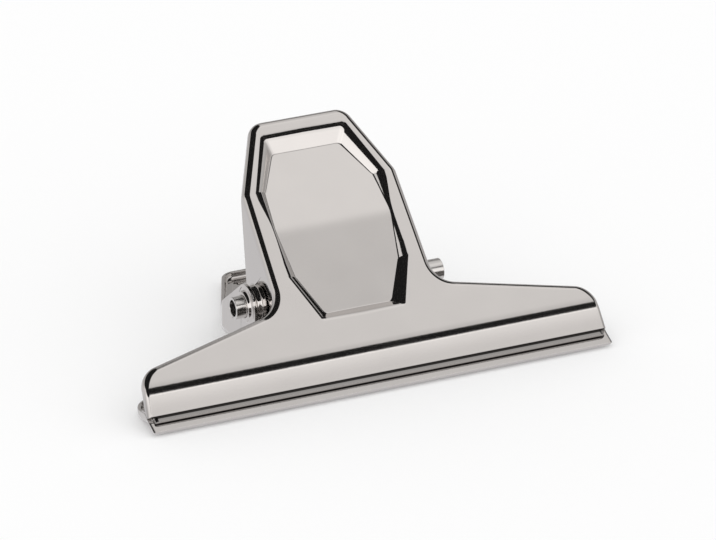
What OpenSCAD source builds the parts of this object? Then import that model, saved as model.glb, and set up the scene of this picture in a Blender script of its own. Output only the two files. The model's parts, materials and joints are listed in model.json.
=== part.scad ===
// Wide letter clip lying on its back: two pressed sheet plates hinged on a rolled tube,
// with a torsion spring between their ears that holds the lips shut.
// X runs along the jaws, +Y from the lips to the handles, +Z up from the surface it lies on.

/* [Jaws] */
// Width of the jaws over their rolled ends
jaw_width = 127; // [90:1:160]
// Widening of each end of the jaws, from the cheek bend to the rear lip
jaw_flare = 0.9; // [0.1:0.1:1.2]
// Turn of the cheek out of the plate, in degrees
cheek_turn = 15.5; // [12:0.5:20]
// Outer radius of the bend between plate and cheek
cheek_bend_radius = 6.2; // [5:0.1:7.5]
// Outer radius of the bend between cheek and lip
lip_bend_radius = 1.1; // [0.6:0.1:1.6]
// Length of the rear plate's flat lip, which stands out under the front one
rear_lip_length = 3.4; // [2.4:0.1:4.5]
// Length of the front plate's flat lip
front_lip_length = 1; // [0.6:0.1:1.6]
// Step by which each end of the front lip is shorter than its cheek
lip_notch = 1.3; // [0.8:0.1:2]
// Gap between the closed lips
lip_gap = 0.12; // [0.08:0.02:0.3]
// Radius of the jaws' outer corners
jaw_corner_radius = 6; // [4.5:0.5:8]
// Height of the shoulder at the end of the jaw, over the cheek bend
shoulder_height = 4.9; // [4:0.1:5.5]
// Rise of the shoulder towards the handle, in degrees
shoulder_rise = 13.2; // [10:0.2:16]

/* [Sheet] */
// Thickness of the sheet
sheet = 0.9; // [0.7:0.05:1.1]
// Outer radius of the rolled edge
edge_radius = 1.8; // [1.5:0.1:2.4]
// Depth of the rolled edge, over the outside of the sheet
rim_depth = 2.4; // [2:0.1:3]

/* [Handle] */
// Length of the plate, from the cheek bend to the tip of the handle
plate_length = 65.6; // [60:0.2:76]
// Width of the handle beside the pivot
side_width = 43.6; // [40:0.2:50]
// Width of the handle at its waist, where it starts to narrow
waist_width = 42.6; // [36:0.2:43]
// Place of the waist along the plate
waist_at = 46.3; // [44:0.1:50]
// Width of the handle at its tip
tip_width = 26; // [18:0.5:32]
// Radius of the tip's corners
tip_radius = 4.5; // [3:0.5:6]
// Radius of the waist's corners
waist_radius = 4; // [2:0.5:8]
// Radius of the hollow between handle and shoulder
neck_radius = 6.5; // [5:0.5:8]
// Length over which the rear handle widens to its ears
flare_length = 8; // [6:0.5:12]

/* [Recess] */
// Depth of the pressed recess at both of its ends
recess_depth = 2.5; // [1.6:0.1:3]
// Depth of the recess at the ridge across its middle
ridge_depth = 0.2; // [0.1:0.05:0.5]
// Place of that ridge along the plate
ridge_at = 35.2; // [32:0.1:38]
// Start of the recess along the plate
recess_start = 9.6; // [8.5:0.1:12]
// Distance from the recess to the tip
recess_tip_margin = 5.1; // [3:0.1:6]
// Distance from the recess to the handle's waist
recess_side_margin = 4.9; // [4.2:0.1:8]
// Half width of the recess at both of its ends
recess_end_half = 11; // [9:0.1:12]
// Half width of the recess where its lower end stops widening
recess_low_half = 15.8; // [13:0.1:16.2]
// Length over which the lower end widens
recess_low_length = 12.9; // [10:0.1:16]
// Run of the wall at the tip end of the recess
recess_tip_wall = 3.6; // [2:0.1:5]
// Run of the wall at the jaw end of the recess
recess_low_wall = 2.2; // [1.4:0.1:3.5]
// Run of the side walls for each millimetre of depth
recess_side_slope = 1; // [0.7:0.05:1.1]

/* [Pivot] */
// Place of the pivot along the plate, from the cheek bend
pivot_along = 22.2; // [20:0.1:26]
// Depth of the pivot under the outside of each plate
pivot_depth = 14.2; // [13.2:0.1:15.5]
// Angle between the two closed plates, in degrees
plate_angle = 42; // [38:0.5:44]
// Outer diameter of the pivot tube
tube_diameter = 5.8; // [4.6:0.1:6.4]
// Wall of the pivot tube
tube_wall = 0.8; // [0.5:0.1:1.2]
// Width of the seam along the pivot tube
tube_seam = 0.4; // [0.2:0.1:0.8]
// Mean length of the tube outside the two rear ears
tube_stub = 4.6; // [3:0.1:8]
// Shift of the tube to the right in its seats
tube_shift = 0.9; // [0:0.1:1.4]
// Radial play of the front ears on the tube
running_fit = 0.06; // [0.02:0.01:0.1]
// Radial play of the tube in the rear ears
seat_fit = 0.02; // [0.01:0.01:0.05]
// Radius of the ear round the pivot
ear_radius = 5.6; // [5.4:0.1:7]
// Radius of the boss pressed out of each front ear
boss_radius = 4.9; // [4.5:0.1:5.3]
// Height of that boss
boss_height = 1.3; // [1.1:0.1:3]
// Side play between a boss and its rear ear
ear_play = 0.3; // [0.2:0.05:0.6]
// Height of the collar round the hole of each rear ear
collar_height = 1; // [0.6:0.1:1.6]
// Wall of that collar
collar_wall = 0.9; // [0.6:0.1:1.2]

/* [Spring] */
// Diameter of the spring wire
wire = 1.6; // [1.2:0.1:1.8]
// Radial play of the coil on the tube
coil_play = 0.5; // [0.3:0.1:0.8]
// Full turns of the coil
coil_turns = 8; // [4:1:10]
// Distance from turn to turn
coil_pitch = 2.4; // [2.3:0.1:3]
// Distance along the plate from the pivot to the heel of each foot
foot_at = 19.8; // [16:0.2:22]
// Length of the foot that lies along the recess
foot_length = 4; // [2:0.5:6]
// Play between the foot and the recess
foot_play = 0.05; // [0.02:0.01:0.2]

/* [Hidden] */

half_angle = plate_angle / 2;
jaw_half = jaw_width / 2;
corner_half = jaw_half - jaw_flare;
side_half = side_width / 2;
boss_top = side_half + boss_height;
rear_side_half = boss_top + ear_play + sheet;
tube_radius = tube_diameter / 2;
tube_half = rear_side_half + tube_stub;
bend_steps = 4;
edge_steps = 4;
corner_steps = 5;
spare = 3;
reach = 4 * plate_length;

// Arc lengths along the outside of the sheet, from the start of the cheek bend to the lip
bend_start = cheek_bend_radius * tan(cheek_turn / 2);
lip_turn = cheek_turn + half_angle;
bend_height = pivot_depth * cos(half_angle) - (pivot_along - bend_start) * sin(half_angle);
cheek_drop = bend_height - cheek_bend_radius * (cos(half_angle) - cos(lip_turn))
    - lip_bend_radius * (1 - cos(lip_turn)) - sheet - lip_gap / 2;
cheek_length = cheek_drop / sin(lip_turn);
bend_arc = cheek_bend_radius * cheek_turn * PI / 180;
cheek_end = bend_arc + cheek_length;
lip_start = cheek_end + lip_bend_radius * lip_turn * PI / 180;
front_lip_end = lip_start + front_lip_length;
rear_lip_end = lip_start + rear_lip_length;

// Place of a point of the flat blank once the sheet is bent, as [along, depth]
function on_arc(s, w) = let(a = s / cheek_bend_radius * 180 / PI, r = cheek_bend_radius - w)
    [bend_start - r * sin(a), cheek_bend_radius - r * cos(a)];
function on_cheek(s, w) = on_arc(bend_arc, w) + (s - bend_arc) * [-cos(cheek_turn), sin(cheek_turn)];
function lip_centre() = on_cheek(cheek_end, -lip_bend_radius);
function on_lip_arc(s, w) = let(a = cheek_turn - (s - cheek_end) / lip_bend_radius * 180 / PI)
    lip_centre() + (lip_bend_radius + w) * [sin(a), cos(a)];
function on_lip(s, w) = on_lip_arc(lip_start, w) - (s - lip_start) * [cos(half_angle), sin(half_angle)];
function bent(s, w) = s <= 0 ? [bend_start - s, w]
    : s <= bend_arc ? on_arc(s, w)
    : s <= cheek_end ? on_cheek(s, w)
    : s <= lip_start ? on_lip_arc(s, w)
    : on_lip(s, w);
function bent_point(p, w) = let(q = bent(bend_start - p[1], w)) [p[0], q[0], q[1]];

// Points of the arc of radius r that rounds corner p between a and b
function unit(a) = a / norm(a);
function rounded(a, p, b, r, steps) =
    let(
        da = unit(a - p),
        db = unit(b - p),
        opening = acos(da * db),
        centre = p + unit(da + db) * r / sin(opening / 2),
        from = unit(p + da * r / tan(opening / 2) - centre),
        to = unit(p + db * r / tan(opening / 2) - centre),
        turn = 180 - opening
    )
    [for (i = [0:steps]) centre + r * (from * sin(turn * (1 - i / steps)) + to * sin(turn * i / steps)) / sin(turn)];

// Right half of the blank's outline, from the lip to the tip of the handle
shoulder_end = [corner_half, shoulder_height];
jaw_corner_drop = jaw_corner_radius / tan((90 + shoulder_rise) / 2);
jaw_corner_at = shoulder_height - jaw_corner_drop;
jaw_reach = jaw_corner_at + rear_lip_end - bend_start;
function shoulder_at(u) = [u, shoulder_height + (corner_half - u) * tan(shoulder_rise)];
function jaw_end(v) = v <= jaw_corner_at ? corner_half + jaw_flare * (jaw_corner_at - v) / jaw_reach
    : corner_half - jaw_corner_radius + sqrt(pow(jaw_corner_radius, 2) - pow(v - jaw_corner_at, 2));
function stations(end) = concat(
    [end],
    [for (i = [bend_steps:-1:0]) cheek_end + (lip_start - cheek_end) * i / bend_steps],
    [for (i = [bend_steps:-1:0]) bend_arc * i / bend_steps]);
function jaw_side(end) = [for (s = stations(end)) [jaw_end(bend_start - s), bend_start - s]];
function jaw_corner() =
    let(
        first = asin((bend_start - jaw_corner_at) / jaw_corner_radius),
        last = 90 - shoulder_rise
    )
    [for (i = [1:corner_steps]) let(a = first + (last - first) * i / corner_steps)
        [corner_half - jaw_corner_radius, jaw_corner_at] + jaw_corner_radius * [cos(a), sin(a)]];

waist = [waist_width / 2, waist_at];
tip = [tip_width / 2, plate_length];
function handle_side(widest, turns) =
    let(
        neck = shoulder_at(widest),
        last = len(turns) - 1
    )
    concat(
        rounded(shoulder_end, neck, turns[0], neck_radius, corner_steps + 1),
        [for (i = [0:last]) for (q = rounded(i == 0 ? neck : turns[i - 1], turns[i],
            i == last ? tip : turns[i + 1], i == last ? waist_radius : 2, 3)) q],
        rounded(turns[last], tip, [0, plate_length], tip_radius, corner_steps));
function front_side(extra) = concat(jaw_side(front_lip_end + extra), jaw_corner(),
    handle_side(side_half, [waist]));
function rear_side(extra) = concat(jaw_side(rear_lip_end + extra), jaw_corner(),
    handle_side(rear_side_half, [[rear_side_half, waist_at - flare_length], waist]));

// The outline moved inwards by d, kept symmetric about the plate's centre line
function side_of(a, b) = let(t = unit(b - a)) [t[1], -t[0]];
function inset(path, d) = [for (i = [0:len(path) - 1])
    let(
        last = len(path) - 1,
        after = i == last ? side_of(path[i], [-path[i][0], path[i][1]]) : side_of(path[i], path[i + 1]),
        before = i == 0 ? after : side_of(path[i - 1], path[i])
    )
    path[i] - d * (before + after) / (1 + before * after)];

// Depth of the side wall at a point of the outline
ear_from = pivot_along - ear_radius;
ear_deep = pivot_depth + ear_radius + 1;
function wall_depth(v) = v <= bend_start + 0.01 ? rim_depth
    : v > ear_from - 2.5 && v < waist_at + 2 ? ear_deep : rim_depth + 0.5;

// Solid under the skin at depth off inside the sheet: rings go down the rounded edge and the wall
module pan(path, off) {
    n = len(path);
    r = edge_radius - off;
    rings = concat(
        [for (k = [0:edge_steps]) let(a = 90 * k / edge_steps, line = inset(path, off + r * (1 - sin(a))))
            [for (q = line) bent_point(q, off + r * (1 - cos(a)))]],
        [[for (q = inset(path, off)) bent_point(q, wall_depth(q[1]) + (off > 0 ? 1 : 0))]]);
    points = [for (ring = rings) for (flip = [1, -1]) for (q = ring) [flip * q[0], q[1], q[2]]];
    m = len(rings);
    function right(k, i) = 2 * n * k + i;
    function left(k, i) = 2 * n * k + n + i;
    function quad(a, b, c, d) = [[a, b, c], [a, c, d]];
    sides = [for (k = [0:m - 2]) for (i = [0:n - 2]) each concat(
        quad(right(k, i), right(k + 1, i), right(k + 1, i + 1), right(k, i + 1)),
        quad(left(k, i), left(k, i + 1), left(k + 1, i + 1), left(k + 1, i)))];
    ends = [for (k = [0:m - 2]) each concat(
        quad(right(k, 0), left(k, 0), left(k + 1, 0), right(k + 1, 0)),
        quad(right(k, n - 1), right(k + 1, n - 1), left(k + 1, n - 1), left(k, n - 1)))];
    caps = [for (i = [0:n - 2]) each concat(
        quad(right(0, i), right(0, i + 1), left(0, i + 1), left(0, i)),
        quad(right(m - 1, i), left(m - 1, i), left(m - 1, i + 1), right(m - 1, i + 1)))];
    polyhedron(points = points, faces = concat(sides, ends, caps), convexity = 8);
}

// Pressed recess: eight walls slope down to two floors that rise to a ridge across its middle
recess_half = waist_width / 2 - recess_side_margin;
recess_tip = plate_length - recess_tip_margin;
recess_low = recess_start + recess_low_length;
recess_high = waist_at;
ridge_half = recess_low_half + (recess_half - recess_low_half) * (ridge_at - recess_low) / (recess_high - recess_low);
floor_low = recess_start + recess_low_wall;
floor_tip = recess_tip - recess_tip_wall;
tip_floor_slope = (recess_depth - ridge_depth) / (floor_tip - ridge_at);
low_floor_slope = (recess_depth - ridge_depth) / (ridge_at - floor_low);
function floor_depth(v) = ridge_depth
    + (v > ridge_at ? (v - ridge_at) * tip_floor_slope : (ridge_at - v) * low_floor_slope);
function floor_side(u, v) = [u - recess_side_slope * floor_depth(v), v];
recess_edge = [
    [recess_end_half, recess_start],
    [recess_low_half, recess_low],
    [ridge_half, ridge_at],
    [recess_half, recess_high],
    [recess_end_half, recess_tip]
];
floor_end_half = recess_end_half - 0.7 * recess_side_slope * recess_depth;
floor_edge = [
    [floor_end_half, floor_low],
    floor_side(recess_low_half, recess_low),
    floor_side(ridge_half, ridge_at),
    floor_side(recess_half, recess_high),
    [floor_end_half, floor_tip]
];
function both_sides(line) = concat(line, [for (i = [4:-1:0]) [-line[i][0], line[i][1]]]);
module recess() {
    points = concat(
        [for (q = both_sides(recess_edge)) [q[0], q[1], -1]],
        [for (q = both_sides(recess_edge)) [q[0], q[1], 0]],
        [for (q = both_sides(floor_edge)) [q[0], q[1], floor_depth(q[1])]]);
    walls = [for (k = [0, 10]) for (i = [0:9]) let(j = (i + 1) % 10) each [
        [k + i, k + i + 10, k + j + 10],
        [k + i, k + j + 10, k + j]
    ]];
    top = [[0, 1, 2, 3, 4, 5, 6, 7, 8, 9]];
    floors = [[22, 21, 20, 29, 28, 27], [27, 26, 25, 24, 23, 22]];
    polyhedron(points = points, faces = concat(top, floors, walls), convexity = 4);
}

// Side view of what stays of the walls: the rim, the bent jaw and the ear, along X, and the recess
pivot_centre = [pivot_along, pivot_depth];
ear_foot = [waist_at, rim_depth];
ear_span = norm(ear_foot - pivot_centre);
ear_line_angle = atan2(pivot_depth - rim_depth, waist_at - pivot_along) + asin(ear_radius / ear_span);
ear_turn = 90 + ear_line_angle;
ear_steps = 24;
ear_arc = [for (i = [0:ear_steps]) let(a = ear_turn * i / ear_steps) pivot_centre + ear_radius * [-cos(a), sin(a)]];
module along_x(length) {
    rotate([90, 0, 90]) linear_extrude(height = length, center = true) children();
}
module side_view() {
    along_x(reach) union() {
        translate([-reach / 2, -reach / 2]) square([reach / 2 + bend_start, reach]);
        translate([-1, -reach / 2]) square([reach, reach / 2 + rim_depth]);
        polygon(concat([[ear_from, 0]], ear_arc, [ear_foot, [waist_at, 0]]));
    }
    translate([0, 0, sheet + 0.3]) recess();
}

// Cuts the sheet at the end of the lip and keeps the rolled ends out of the other plate
function from_pivot(q) = (q - pivot_centre) * [cos(half_angle), sin(half_angle)];
rear_lip_at = from_pivot(on_lip(rear_lip_end, 0));
front_lip_at = from_pivot(on_lip(front_lip_end, 0));
module in_lip_plane() {
    translate([0, pivot_along, pivot_depth]) rotate([half_angle, 0, 0]) children();
}
module jaw_trim(lip_at) {
    far = reach / 2;
    in_lip_plane() along_x(reach) polygon([
        [lip_at - far, -far], [lip_at, -far], [lip_at, -lip_gap / 2],
        [-pivot_along, -lip_gap / 2], [-pivot_along, far], [lip_at - far, far]
    ]);
}

// Cuts the step at both ends of the front lip
module lip_step() {
    step_at = from_pivot(on_cheek(cheek_end, 0));
    for (flip = [-1, 1]) in_lip_plane() translate([flip * (jaw_half - lip_notch + spare), 0, 0]) along_x(2 * spare)
        translate([step_at - reach, -reach / 2]) square(reach);
}

module pivot_bore(r) {
    translate([0, pivot_along, pivot_depth]) rotate([0, 90, 0]) cylinder(r = r, h = reach, center = true, $fn = 64);
}
module ear_disc(r, from, to) {
    for (flip = [-1, 1]) translate([flip * (from + to) / 2, pivot_along, pivot_depth])
        rotate([0, 90, 0]) cylinder(r = r, h = to - from, center = true, $fn = 64);
}

// One sheet thickness between the outer and the inner skin, with the recess pressed in
module pressed_sheet(outer_side, inner_side, lip_at) {
    difference() {
        intersection() {
            difference() {
                difference() {
                    pan(outer_side, 0);
                    recess();
                }
                difference() {
                    pan(inner_side, sheet);
                    translate([0, 0, sheet]) recess();
                }
            }
            side_view();
        }
        jaw_trim(lip_at);
    }
}

// Seats of the two plates: the rear one lies on the surface, the front one is its mirror image
rear_lip_reach = rear_lip_at * cos(half_angle) + lip_gap / 2 * sin(half_angle);
front_lip_reach = front_lip_at * cos(half_angle) - (sheet + lip_gap / 2) * sin(half_angle);
centre_shift = -(min(rear_lip_reach, front_lip_reach) + plate_length - pivot_along) / 2;
module seat_rear() {
    translate([0, centre_shift - pivot_along, 0]) children();
}
module seat_front() {
    translate([0, centre_shift, pivot_depth]) rotate([plate_angle, 0, 0]) mirror([0, 0, 1])
        translate([0, -pivot_along, -pivot_depth]) children();
}

module rear_plate() {
    color("silver") seat_rear() difference() {
        union() {
            pressed_sheet(rear_side(spare), rear_side(2 * spare), rear_lip_at);
            ear_disc(tube_radius + seat_fit + collar_wall, rear_side_half - sheet / 2,
                rear_side_half + collar_height);
        }
        pivot_bore(tube_radius + seat_fit);
    }
}

module front_plate() {
    color("gainsboro") seat_front() difference() {
        union() {
            pressed_sheet(front_side(spare), front_side(2 * spare), front_lip_at);
            ear_disc(boss_radius, side_half - sheet / 2, boss_top);
        }
        ear_disc(boss_radius - sheet, side_half - 2 * sheet, boss_top - sheet);
        pivot_bore(tube_radius + running_fit);
        lip_step();
    }
}

// Rolled tube with its seam turned down, away from the ears' load
module pivot_tube() {
    color("darkgray") translate([tube_shift, centre_shift, pivot_depth]) rotate([0, 90, 0]) difference() {
        cylinder(r = tube_radius, h = 2 * tube_half, center = true, $fn = 64);
        cylinder(r = tube_radius - tube_wall, h = 2 * tube_half + 2, center = true, $fn = 64);
        translate([0, -tube_seam / 2, -tube_half - 1]) cube([tube_diameter, tube_seam, 2 * tube_half + 2]);
    }
}

// Spring wire as one tube: foot, leg, coil, leg and foot, in places seen from the pivot
coil_radius = tube_radius + coil_play + wire / 2;
foot_slope = atan(tip_floor_slope);
foot_depth = pivot_depth - sheet - floor_depth(pivot_along + foot_at) - (foot_play + wire / 2) / cos(foot_slope);
leg_length = sqrt(pow(foot_at, 2) + pow(foot_depth, 2) - pow(coil_radius, 2));
leg_slope = atan2(foot_depth, foot_at) - atan2(coil_radius, leg_length);
coil_first = 270 - leg_slope;
coil_sweep = coil_first - (plate_angle + leg_slope + 90) + 360 * coil_turns;
coil_half = coil_pitch * coil_sweep / 720;
wire_sides = 6;
curl_rings = 8;
coil_rings = ceil(coil_sweep / 360 * curl_rings);
coil_line = [for (i = [0:coil_rings]) let(a = coil_first - coil_sweep * i / coil_rings)
    [-coil_half + 2 * coil_half * i / coil_rings, coil_radius * cos(a), coil_radius * sin(a)]];
heel = [foot_at, -foot_depth];
foot_bend = wire;
foot_line = [cos(foot_slope), sin(foot_slope)];
leg_line = [-cos(leg_slope), sin(leg_slope)];
rear_leg = [for (q = [heel + foot_length * foot_line, heel + foot_bend / 2 * foot_line, heel + foot_bend / 2 * leg_line])
    [-coil_half, q[0], q[1]]];
function mirrored(q) = [-q[0], q[1] * cos(plate_angle) + q[2] * sin(plate_angle),
    q[1] * sin(plate_angle) - q[2] * cos(plate_angle)];
spring_line = concat(rear_leg, coil_line, [for (i = [2:-1:0]) mirrored(rear_leg[i])]);

function tangent(line, i) = let(last = len(line) - 1)
    unit(line[min(i + 1, last)] - line[max(i - 1, 0)]);
function ring_at(line, i) =
    let(
        t = tangent(line, i),
        a = unit([1, 0, 0] - t[0] * t),
        b = cross(t, a)
    )
    [for (j = [0:wire_sides - 1]) let(c = 360 * j / wire_sides) line[i] + wire / 2 * (a * cos(c) + b * sin(c))];
module wire_tube(line) {
    last = len(line) - 1;
    n = wire_sides;
    points = [for (i = [0:last]) each ring_at(line, i)];
    skin = [for (i = [0:last - 1]) for (j = [0:n - 1]) let(k = (j + 1) % n) each [
        [i * n + j, (i + 1) * n + j, (i + 1) * n + k],
        [i * n + j, (i + 1) * n + k, i * n + k]
    ]];
    first_cap = [for (j = [1:n - 2]) [0, j, j + 1]];
    last_cap = [for (j = [1:n - 2]) [last * n, last * n + j + 1, last * n + j]];
    polyhedron(points = points, faces = concat(skin, first_cap, last_cap), convexity = 10);
}
turn_gap = min([for (i = [0:coil_rings - curl_rings]) for (j = [i + curl_rings - 2:min(i + curl_rings + 2, coil_rings)])
    norm(coil_line[i] - coil_line[j])]) - wire;
echo(least_gap_of_the_coil_to_itself = turn_gap);

module torsion_spring() {
    color("dimgray") translate([0, centre_shift, pivot_depth]) wire_tube(spring_line);
}

rear_plate();
front_plate();
pivot_tube();
torsion_spring();
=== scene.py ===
import json
import math

import bmesh
import bpy
import numpy as np
from bpy.props import FloatProperty, FloatVectorProperty, IntProperty, PointerProperty
from mathutils import Matrix, Vector
from mathutils.geometry import tessellate_polygon


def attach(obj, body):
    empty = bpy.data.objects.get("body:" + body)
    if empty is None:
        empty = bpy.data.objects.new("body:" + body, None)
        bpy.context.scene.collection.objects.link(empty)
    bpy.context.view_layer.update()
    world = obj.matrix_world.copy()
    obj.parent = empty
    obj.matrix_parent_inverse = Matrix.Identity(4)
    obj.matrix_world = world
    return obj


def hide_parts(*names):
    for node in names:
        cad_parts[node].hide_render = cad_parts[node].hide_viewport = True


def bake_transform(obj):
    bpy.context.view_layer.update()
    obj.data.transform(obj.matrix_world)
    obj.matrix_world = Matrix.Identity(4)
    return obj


bl_info = {
    "name": "Letter Clip",
    "version": (1, 0, 0),
    "blender": (4, 5, 0),
    "location": "3D View > Sidebar > Clip",
    "description": "Builds the finished look of a wide sprung letter clip",
    "category": "Object",
}

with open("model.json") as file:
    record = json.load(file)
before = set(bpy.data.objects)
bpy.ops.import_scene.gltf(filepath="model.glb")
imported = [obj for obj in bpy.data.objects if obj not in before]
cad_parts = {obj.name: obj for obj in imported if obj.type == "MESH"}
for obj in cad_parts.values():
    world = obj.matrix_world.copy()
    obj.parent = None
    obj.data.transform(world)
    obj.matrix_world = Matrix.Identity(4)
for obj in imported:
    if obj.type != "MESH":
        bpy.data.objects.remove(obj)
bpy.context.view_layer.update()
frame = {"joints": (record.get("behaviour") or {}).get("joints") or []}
PIVOT = tuple(frame["joints"][0]["pos_m"])
MM = 0.001
MERGE = 0.003 * MM  # vertices closer than this become one
SLIVER = 0.001 * MM  # edges shorter than this are dissolved
NO_AREA = 1e-14  # triangles of less than half of this, in square metres, are left out
ROLL_FACES = 7  # across the rolled edge of a plate
LIP_POINTS = 11  # round the bend between cheek and lip
CHEEK_POINTS = 7  # down the cheek
BEND_POINTS = 17  # round the bend between plate and cheek
CORNER_POINTS = 15  # round the outer corner of a jaw
EAR_POINTS = 33  # round the free edge of an ear
HOLE_FACES = 64  # round the hole of an ear
TUBE_POINTS = 72  # round the tube from one side of its seam to the other
HEEL_POINTS = 7  # round the bend between foot and leg of the spring
LEG_POINTS = 8  # along a leg of the spring
COIL_FACES = 40  # along one turn of the spring


def length(name, default, description):
    """Size given in mm and kept in metres."""
    return FloatProperty(name=name, default=default * MM, description=description, unit="LENGTH", precision=5)


def angle(name, default, description):
    """Angle given in degrees and kept in radians."""
    return FloatProperty(name=name, default=math.radians(default), description=description, subtype="ANGLE")


def colour(name, default, description):
    """Linear colour."""
    return FloatVectorProperty(name=name, default=default, description=description, subtype="COLOR")


def fraction(name, default, description):
    """Number from 0 to 1."""
    return FloatProperty(name=name, default=default, description=description, subtype="FACTOR", min=0, max=1)


class SheetSettings(bpy.types.PropertyGroup):
    """Measures and finish of the plates, whose places count from the corner between plate and cheek."""

    sheet: length("Sheet", 0.9, "Thickness of the sheet")
    edge: length("Edge radius", 1.8, "Outer radius of the rolled edge")
    end_edge: length("Jaw end radius", 1.1, "Outer radius of the rolled edge at the ends of the jaws")
    rim: length("Rim depth", 2.4, "Depth of the rolled edge")
    bevel: length("Cut edge", 0.12, "Rounding of the sheet's cut edge")
    jaw_half: length("Jaw half width", 63.5, "Half of the width of the jaws at the rear lip")
    lip_half: length("Lip half width", 63.2, "Half of the width where the rear plate stops widening")
    widening: length("Jaw widening", 0.9, "Widening of each end of the jaws towards the lips")
    shoulder: length("Shoulder height", 4.9, "Height of the shoulder over the cheek bend")
    rise: angle("Shoulder rise", 13.2, "Slope of the shoulder")
    corner: length("Jaw corner", 6.0, "Radius of the jaws' outer corners")
    bend: length("Cheek bend", 14.0, "Outer radius of the bend between plate and cheek")
    lip_bend: length("Lip bend", 1.1, "Radius of the bend between cheek and lip")
    cheek: angle("Cheek turn", 15.5, "Turn of the cheek out of the plate")
    rear_lip: length("Rear lip", 3.4, "Length of the rear lip")
    front_lip: length("Front lip", 1.0, "Length of the front lip")
    notch: length("Lip step", 1.3, "Step by which each end of the front lip is shorter")
    lip_gap: length("Lip gap", 0.12, "Gap between the closed lips")
    plate: length("Plate length", 65.6, "Length from the cheek bend to the tip")
    side_half: length("Side half width", 21.8, "Half width beside the pivot")
    ear_gap: length("Ear offset", 2.5, "Distance from a front ear to a rear ear")
    waist_half: length("Waist half width", 21.3, "Half width at the waist")
    waist: length("Waist", 46.3, "Place of the waist along the plate")
    flare: length("Flare", 8.0, "Length over which the rear handle widens")
    flare_radius: length("Flare corner", 3.0, "Radius where the rear handle starts to narrow")
    tip_half: length("Tip half width", 13.0, "Half width at the tip")
    tip_radius: length("Tip corner", 4.5, "Radius of the tip's corners")
    waist_radius: length("Waist corner", 4.0, "Radius of the waist's corners")
    neck: length("Neck radius", 6.5, "Radius between handle and shoulder")
    along: length("Pivot along", 22.2, "Place of the pivot along the plate")
    depth: length("Pivot depth", 14.2, "Depth of the pivot under the plate")
    opening: angle("Plate angle", 42.0, "Angle between the closed plates")
    ear: length("Ear radius", 5.6, "Radius of the ear round the pivot")
    foot: length("Ear foot", 2.2, "Height over which the neck's turn runs out in the ear")
    boss: length("Boss height", 1.3, "Height of the front ear's boss")
    collar: length("Collar height", 1.0, "Height of the rear ear's collar")
    recess: length("Recess depth", 2.5, "Depth of the pressed recess at both ends")
    ridge: length("Ridge depth", 0.2, "Depth of the recess at the ridge across its middle")
    ridge_at: length("Ridge", 35.2, "Place of the ridge along the plate")
    ridge_soft: length("Ridge rounding", 0.3, "Rounding of the ridge, as a depth")
    recess_start: length("Recess start", 9.6, "Start of the recess along the plate")
    recess_tip: length("Recess tip", 60.5, "End of the recess along the plate")
    recess_end: length("Recess end width", 11.0, "Half width of the recess at both ends")
    recess_low: length("Recess low width", 15.8, "Half width where the lower end stops widening")
    recess_low_at: length("Recess low place", 22.5, "Place of that width along the plate")
    recess_high: length("Recess high width", 16.4, "Half width at the waist")
    recess_corner: length("Recess corners", 1.3, "Radius of the recess's corners")
    low_wall: length("Low wall", 2.2, "Run of the wall at the jaw end")
    tip_wall: length("Tip wall", 3.6, "Run of the wall at the tip end")
    press: length("Press rounding", 0.3, "Rounding of the recess's outer edge, as a depth")
    crease: length("Floor rounding", 0.1, "Rounding of the edge between wall and floor, as a depth")
    lead: length("Lead", 1.15, "Width of the shallow lead round the tip end of the recess")
    lead_slope: angle("Lead slope", 9.6, "Slope of that lead")
    plating: colour("Plating", (0.7, 0.68, 0.665), "Colour of the plates' nickel")
    roughness: fraction("Roughness", 0.08, "Roughness of the plates' nickel")


class TubeSettings(bpy.types.PropertyGroup):
    """Measures and finish of the pivot tube."""

    radius: length("Radius", 2.9, "Outer radius of the tube")
    wall: length("Wall", 0.8, "Wall of the tube")
    half: length("Half length", 28.9, "Half of the tube's length")
    shift: length("Shift", 0.9, "Shift of the tube to the right in its seats")
    seam: length("Seam", 0.4, "Width of the seam")
    chamfer: length("Chamfer", 0.15, "Break of the tube's ends")
    plating: colour("Plating", (0.75, 0.735, 0.72), "Colour of the tube's nickel")
    roughness: fraction("Roughness", 0.2, "Roughness of the tube's nickel")


class SpringSettings(bpy.types.PropertyGroup):
    """Measures and finish of the torsion spring."""

    wire: length("Wire", 1.6, "Diameter of the wire")
    play: length("Play", 0.5, "Radial play of the coil on the tube")
    pitch: length("Pitch", 2.4, "Distance from turn to turn")
    turns: IntProperty(name="Turns", default=8, description="Full turns of the coil")
    foot_at: length("Foot place", 19.8, "Distance along the plate from the pivot to each heel")
    foot: length("Foot", 4.0, "Length of the foot along the plate")
    heel: length("Heel", 1.28, "Reach of the bend at the heel")
    lift: length("Lift", 0.05, "Gap between the foot and the floor of the recess")
    sides: IntProperty(name="Sides", default=24, description="Sides of the wire")
    steel: colour("Steel", (0.42, 0.41, 0.4), "Colour of the oiled wire")
    roughness: fraction("Roughness", 0.34, "Roughness of the wire")


class StageSettings(bpy.types.PropertyGroup):
    """Floor and camera."""

    floor: FloatProperty(name="Floor", default=1.2, description="Half width of the floor", unit="LENGTH")
    paper: colour("Paper", (0.99, 0.99, 0.99), "Colour of the floor")
    paper_glow: colour("Paper in metal", (0.72, 0.71, 0.72), "Colour of the floor as metal sees it")
    distance: FloatProperty(name="Distance", default=1.5, description="Distance of the camera", unit="LENGTH")
    lens: FloatProperty(name="Lens", default=295.6, description="Focal length in mm")
    turn: angle("Turn", 23.9, "Turn of the camera to the left of the clip")
    height: angle("Height", 25.4, "Height of the camera over the table")
    aim_right: length("Aim right", 6.17, "Distance from the pivot to the picture's middle, to the right")
    aim_up: length("Aim up", 4.87, "Distance from the pivot to the picture's middle, upwards")


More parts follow.
